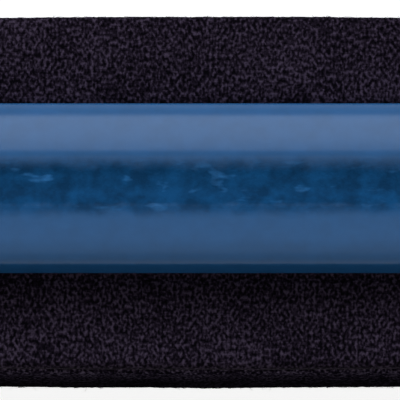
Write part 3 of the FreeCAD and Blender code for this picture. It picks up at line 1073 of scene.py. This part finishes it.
@dataclass
class Grip:
    """The moulded grip: drafted walls, round shoulders, a crowned top and a finger channel.

    It grows ring by ring from its foot, over the top to the channel's floor, and up the hollow.
    """

    corner_radius: float = 9 * MM
    shoulder_run: float = 3.4 * MM
    shoulder_fall: float = 2.3 * MM
    crown_radius: float = 33 * MM
    draft: float = math.radians(1.5)
    wall: float = 2.2 * MM
    foot_radius: float = 0.3 * MM
    channel_end_margin: float = 9 * MM
    channel_end_flat: float = 0.4 * MM
    floor_half_width: float = 1.2 * MM
    slope_width: float = 3.2 * MM
    end_ramp: float = 6 * MM
    channel_depth: float = 1.2 * MM
    rim_run: float = 0.1 * MM
    floor_run: float = 0.9 * MM
    standoff: float = 3.3 * MM
    boss_count: int = 3
    boss_end_margin: float = 16 * MM
    boss_diameter: float = 7 * MM
    bore_diameter: float = 3 * MM
    bore_depth: float = 8.5 * MM
    rib_thickness: float = 1.4 * MM
    rib_seat_gap: float = 0.6 * MM
    long_steps: int = 110
    short_steps: int = 10
    corner_steps: int = 14
    foot_steps: int = 3
    wall_steps: int = 5
    shoulder_steps: int = 16
    crown_steps: int = 10
    slope_steps: int = 24
    buried: float = 0.3 * MM
    half_x: float = field(init=False)
    half_y: float = field(init=False)
    base: float = field(init=False)
    height: float = field(init=False)

    def __post_init__(self) -> None:
        """Reads the grip's box from the frame."""
        low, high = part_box("grip")
        self.half_x = high.x
        self.half_y = high.y
        self.base = low.z + self.standoff
        self.height = high.z - self.base

    def outline(self, half_x: float, half_y: float, radius: float) -> list[Vector]:
        """Walks round a rounded rectangle, with as many points on every such outline.

        Args:
            half_x: Half its length.
            half_y: Half its width.
            radius: Its corners' radius.

        Returns:
            Its points at height nought, anticlockwise from above.
        """
        straight_x = half_x - radius
        straight_y = half_y - radius
        corners = [
            Vector((x_sign * straight_x, y_sign * straight_y, 0))
            for x_sign, y_sign in ((1, -1), (1, 1), (-1, 1), (-1, -1))
        ]
        points = []
        for quarter, corner in enumerate(corners):
            start = math.pi / 2 * (quarter - 1)
            for step in range(self.corner_steps):
                angle = start + math.pi / 2 * step / self.corner_steps
                points.append(corner + radius * Vector((math.cos(angle), math.sin(angle), 0)))
            end = start + math.pi / 2
            side_start = corner + radius * Vector((math.cos(end), math.sin(end), 0))
            run = corners[(quarter + 1) % 4] - corner
            steps = self.short_steps if quarter in (0, 2) else self.long_steps
            for step in range(steps):
                points.append(side_start + run * step / steps)
        return points

    def crown_drop(self, y: float) -> float:
        """Returns how far the crown has fallen at a distance from the middle line."""
        return self.crown_radius - math.sqrt(self.crown_radius ** 2 - y * y)

    def raised(self, points: list[Vector], height: float) -> list[Vector]:
        """Lifts an outline onto the crowned form.

        Args:
            points: The outline at height nought.
            height: Its height on a grip with a flat top.

        Returns:
            The outline in place, lower at its sides as the crown is.
        """
        lifted = []
        for point in points:
            share = 1 - self.crown_drop(point.y) / self.height
            lifted.append(Vector((point.x, point.y, self.base + height * share)))
        return lifted

    def wall_top(self) -> float:
        """Returns the height at which the wall ends and the shoulder starts."""
        return self.height - self.shoulder_fall

    def outer_rings(self) -> list[list[Vector]]:
        """Returns the rings from the foot, up the wall and over the shoulder.

        Returns:
            The rings, outermost and lowest first.
        """
        rings = []
        for step in range(self.foot_steps + 1):
            angle = math.pi / 2 * step / self.foot_steps
            rings.append((
                self.foot_radius * (1 - math.sin(angle)), self.foot_radius * (1 - math.cos(angle))
            ))
        for step in range(1, self.wall_steps + 1):
            share = step / self.wall_steps
            height = self.foot_radius + (self.wall_top() - self.foot_radius) * share
            rings.append((height * math.tan(self.draft), height))
        for step in range(1, self.shoulder_steps + 1):
            angle = math.pi / 2 * step / self.shoulder_steps
            rings.append((
                self.wall_top() * math.tan(self.draft) + self.shoulder_run * (1 - math.cos(angle)),
                self.wall_top() + self.shoulder_fall * math.sin(angle),
            ))
        return [
            self.raised(
                self.outline(self.half_x - inset, self.half_y - inset, self.corner_radius - inset),
                height,
            )
            for inset, height in rings
        ]

    def channel_profile(self) -> list[tuple[float, float]]:
        """Draws the channel's side as one smooth S from rim to floor.

        Returns:
            Pairs of the distance in from the rim and the depth, from rim to floor.
        """
        run = self.slope_width + self.rim_run + self.floor_run
        profile = []
        for step in range(self.slope_steps + 1):
            t = step / self.slope_steps
            fall = t * t * t * (t * (6 * t - 15) + 10)
            profile.append((run * t - self.rim_run, self.channel_depth * fall))
        return profile

    def channel_outline(self, inset: float) -> list[Vector]:
        """Returns the channel's outline at a distance in from its rim."""
        half_y = self.floor_half_width + self.slope_width - inset
        end = inset * self.end_ramp / self.slope_width
        half_x = self.half_x - self.channel_end_margin - end
        return self.outline(half_x, half_y, half_y - self.channel_end_flat / 2)

    def crown_rings(self) -> list[list[Vector]]:
        """Returns the rings from the shoulder in to the channel's rim.

        Returns:
            The rings, outermost first.
        """
        shoulder_inset = self.wall_top() * math.tan(self.draft) + self.shoulder_run
        shoulder = self.outline(
            self.half_x - shoulder_inset,
            self.half_y - shoulder_inset,
            self.corner_radius - shoulder_inset,
        )
        rim = self.channel_outline(self.channel_profile()[0][0])
        rings = []
        for step in range(1, self.crown_steps + 1):
            share = step / self.crown_steps
            between = [a.lerp(b, share) for a, b in zip(shoulder, rim)]
            rings.append(self.raised(between, self.height))
        return rings

    def channel_rings(self) -> list[list[Vector]]:
        """Returns the rings from the rim down to the channel floor.

        Returns:
            The rings, outermost first.
        """
        return [
            self.raised(self.channel_outline(inset), self.height - depth)
            for inset, depth in self.channel_profile()[1:]
        ]

    def cavity_rings(self) -> list[list[Vector]]:
        """Returns the rings from the foot's inner edge up to the hollow's ceiling.

        Returns:
            The rings, lowest first.
        """
        ceiling = self.height - self.channel_depth - self.wall
        ring = self.outline(
            self.half_x - self.wall, self.half_y - self.wall, self.corner_radius - self.wall
        )
        return [
            [Vector((p.x, p.y, self.base + height)) for p in ring]
            for height in (0.0, ceiling / 2, ceiling)
        ]

    def build(self) -> bpy.types.Object:
        """Builds the grip and hides the node that it stands for.

        Returns:
            The grip.
        """
        bm = bmesh.new()
        outer = self.outer_rings()
        bmesh.ops.create_circle(bm, segments=len(outer[0]), radius=1.0)
        bm.verts.ensure_lookup_table()
        foot = bm.verts[:]
        foot_edges = bm.edges[:]
        for vert, point in zip(foot, outer[0]):
            vert.co = point
        upper_rings = outer[1:] + self.crown_rings() + self.channel_rings()
        for rings in (upper_rings, self.cavity_rings()):
            bmesh.ops.contextual_create(bm, geom=self.grow(bm, foot, foot_edges, rings))
        bmesh.ops.recalc_face_normals(bm, faces=bm.faces[:])
        piece = make_object("grip_moulding", bm, MouldedAbs().material())
        self.add_ribs_and_bosses(piece)
        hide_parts("grip")
        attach(piece, ROOT)
        log.info("%s: %d faces", piece.name, len(piece.data.polygons))
        return piece

    def grow(
        self, bm: BMesh, verts: list[BMVert], edges: list[BMEdge], rings: list[list[Vector]]
    ) -> list[BMEdge]:
        """Extrudes a closed run of edges from ring to ring.

        Args:
            bm: The bmesh.
            verts: The starting ring's vertices, in order.
            edges: The starting ring's edges.
            rings: The rings to reach, in order.

        Returns:
            The last ring's edges.
        """
        for ring in rings:
            made = bmesh.ops.extrude_edge_only(bm, edges=edges)["geom"]
            fresh = {item for item in made if isinstance(item, BMVert)}
            verts = [
                next(e.other_vert(vert) for e in vert.link_edges if e.other_vert(vert) in fresh)
                for vert in verts
            ]
            for vert, point in zip(verts, ring):
                vert.co = point
            edges = [
                item for item in made
                if isinstance(item, BMEdge) and item.verts[0] in fresh and item.verts[1] in fresh
            ]
        return edges

    def add_ribs_and_bosses(self, piece: bpy.types.Object) -> None:
        """Joins the cross ribs and screw bosses to the hollow, and bores the bosses.

        Args:
            piece: The grip, which is changed.
        """
        ceiling = self.base + self.height - self.channel_depth - self.wall
        span = self.half_x - self.boss_end_margin
        rib_count = 2 * self.boss_count - 1
        for index in range(rib_count):
            x = -span + 2 * span * index / (rib_count - 1)
            rib = bmesh.new()
            low = self.base + self.rib_seat_gap
            bmesh.ops.create_cube(rib, size=1.0, matrix=Matrix.LocRotScale(
                Vector((x, 0, (low + ceiling + self.buried) / 2)), None,
                Vector((
                    self.rib_thickness, 2 * (self.half_y - self.wall + self.buried),
                    ceiling + self.buried - low,
                )),
            ))
            combine(piece, rib, "UNION")
        for index in range(self.boss_count):
            x = -span + 2 * span * index / (self.boss_count - 1)
            foot = self.base - self.standoff
            boss = round_bar(x, foot, ceiling + self.buried, self.boss_diameter)
            combine(piece, boss, "UNION")
            bore_top = foot + self.bore_depth
            combine(piece, round_bar(x, foot - MM, bore_top, self.bore_diameter), "DIFFERENCE")
        piece.data.shade_smooth()


@dataclass
class Backing:
    """The board, its glue and its screws, whose own meshes stay and take finishes."""

    def build(self, nodes: dict[str, bpy.types.Object]) -> None:
        """Gives each of the backing's nodes its finish.

        Args:
            nodes: The frame's nodes, by name.
        """
        glue = HotMeltGlue().material()
        finishes = {
            "backing_board": PressedFibreboard().material(),
            "ply_adhesive": glue,
            "cover_adhesive": glue,
            "grip_screws": ZincPlatedSteel().material(),
        }
        for name, material in finishes.items():
            mesh = nodes[name].data
            mesh.materials.clear()
            mesh.materials.append(material)
            log.info("%s: %s", name, material.name)


# ---------------------------------------------------------------- studio


@dataclass(frozen=True)
class SoftLamp:
    """A square soft box that points at the eraser."""

    name: str
    azimuth: float
    elevation: float
    distance: float
    side: float
    power: float
    hex_colour: str = "#FFFFFF"

    def build(self, target: Vector) -> bpy.types.Object:
        """Hangs the lamp in place.

        Args:
            target: What it points at.

        Returns:
            The lamp.
        """
        lamp = bpy.data.lights.new(self.name, "AREA")
        lamp.shape = "SQUARE"
        lamp.size = self.side
        lamp.energy = self.power
        lamp.color = srgb(self.hex_colour)[:3]
        around, up = math.radians(self.azimuth), math.radians(self.elevation)
        away = Vector((
            math.sin(around) * math.cos(up), -math.cos(around) * math.cos(up), math.sin(up)
        ))
        holder = bpy.data.objects.new(self.name, lamp)
        holder.location = target + away * self.distance
        holder.rotation_euler = (-away).to_track_quat("-Z", "Y").to_euler()
        holder.visible_camera = False
        bpy.context.scene.collection.objects.link(holder)
        return holder


@dataclass
class Studio:
    """A white paper floor, soft lamps and a long lens that looks almost straight down."""

    floor_side: float = 3.0
    camera_elevation: float = 81.6
    camera_distance: float = 1.2
    frame_width: float = 56.66 * MM
    sensor_width: float = 36.0
    nearest: float = 0.01
    farthest: float = 20.0
    aim: Vector = field(default_factory=lambda: Vector((0, -1.26, 23.2)) * MM)
    lamps: tuple[SoftLamp, ...] = (
        SoftLamp("back lamp", azimuth=193, elevation=45, distance=1.5, side=1.12, power=18.5,
                 hex_colour="#EDF4FF"),
        SoftLamp("top lamp", azimuth=180, elevation=84, distance=1.5, side=2.0, power=2.0),
        SoftLamp("front lamp", azimuth=10, elevation=54, distance=1.5, side=1.5, power=4.2),
    )
    world_hex: str = "#FFFFFF"
    world_strength: float = 0.1

    def build(self) -> None:
        """Builds the floor, the lamps, the world and the camera."""
        self.build_floor()
        for lamp in self.lamps:
            lamp.build(self.aim)
        self.build_world()
        self.build_camera()
        bpy.context.scene.view_settings.view_transform = "Standard"
        log.info("studio: %d lamps", len(self.lamps))

    def build_world(self) -> None:
        """Surrounds the floor with white walls that light the eraser only a little."""
        world = bpy.data.worlds.new("studio")
        world.use_nodes = True
        tree = world.node_tree
        tree.nodes.clear()
        strength = add_node(tree, "MapRange", {
            "Value": seen_directly(tree), "To Min": self.world_strength, "To Max": 1.0,
        }).outputs[0]
        walls = add_node(tree, "Background", {
            "Color": srgb(self.world_hex), "Strength": strength,
        })
        add_node(tree, "OutputWorld", {"Surface": walls.outputs[0]})
        bpy.context.scene.world = world

    def build_floor(self) -> None:
        """Lays the paper floor at the height of the wiping face."""
        bm = bmesh.new()
        bmesh.ops.create_grid(bm, x_segments=4, y_segments=4, size=self.floor_side / 2)
        floor = make_object("studio_floor", bm, PaperSweep().material())

    def build_camera(self) -> None:
        """Sets up the camera so that its frame is as wide as asked at the aim."""
        camera = bpy.data.cameras.new("camera")
        camera.sensor_width = self.sensor_width
        camera.lens = self.sensor_width * self.camera_distance / self.frame_width
        camera.clip_start = self.nearest
        camera.clip_end = self.farthest
        up = math.radians(self.camera_elevation)
        away = Vector((0, -math.cos(up), math.sin(up)))
        holder = bpy.data.objects.new("camera", camera)
        holder.location = self.aim + away * self.camera_distance
        holder.rotation_euler = (-away).to_track_quat("-Z", "Y").to_euler()
        bpy.context.scene.collection.objects.link(holder)
        bpy.context.scene.camera = holder


def main() -> None:
    """Builds the dressed eraser and its studio."""
    logging.basicConfig(level=logging.INFO, format="%(name)s: %(message)s")
    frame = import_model()
    WipingPad().build(list(frame["nodes"]))
    Backing().build(frame["nodes"])
    Grip().build()
    Studio().build()


if __name__ == "__main__":
    main()
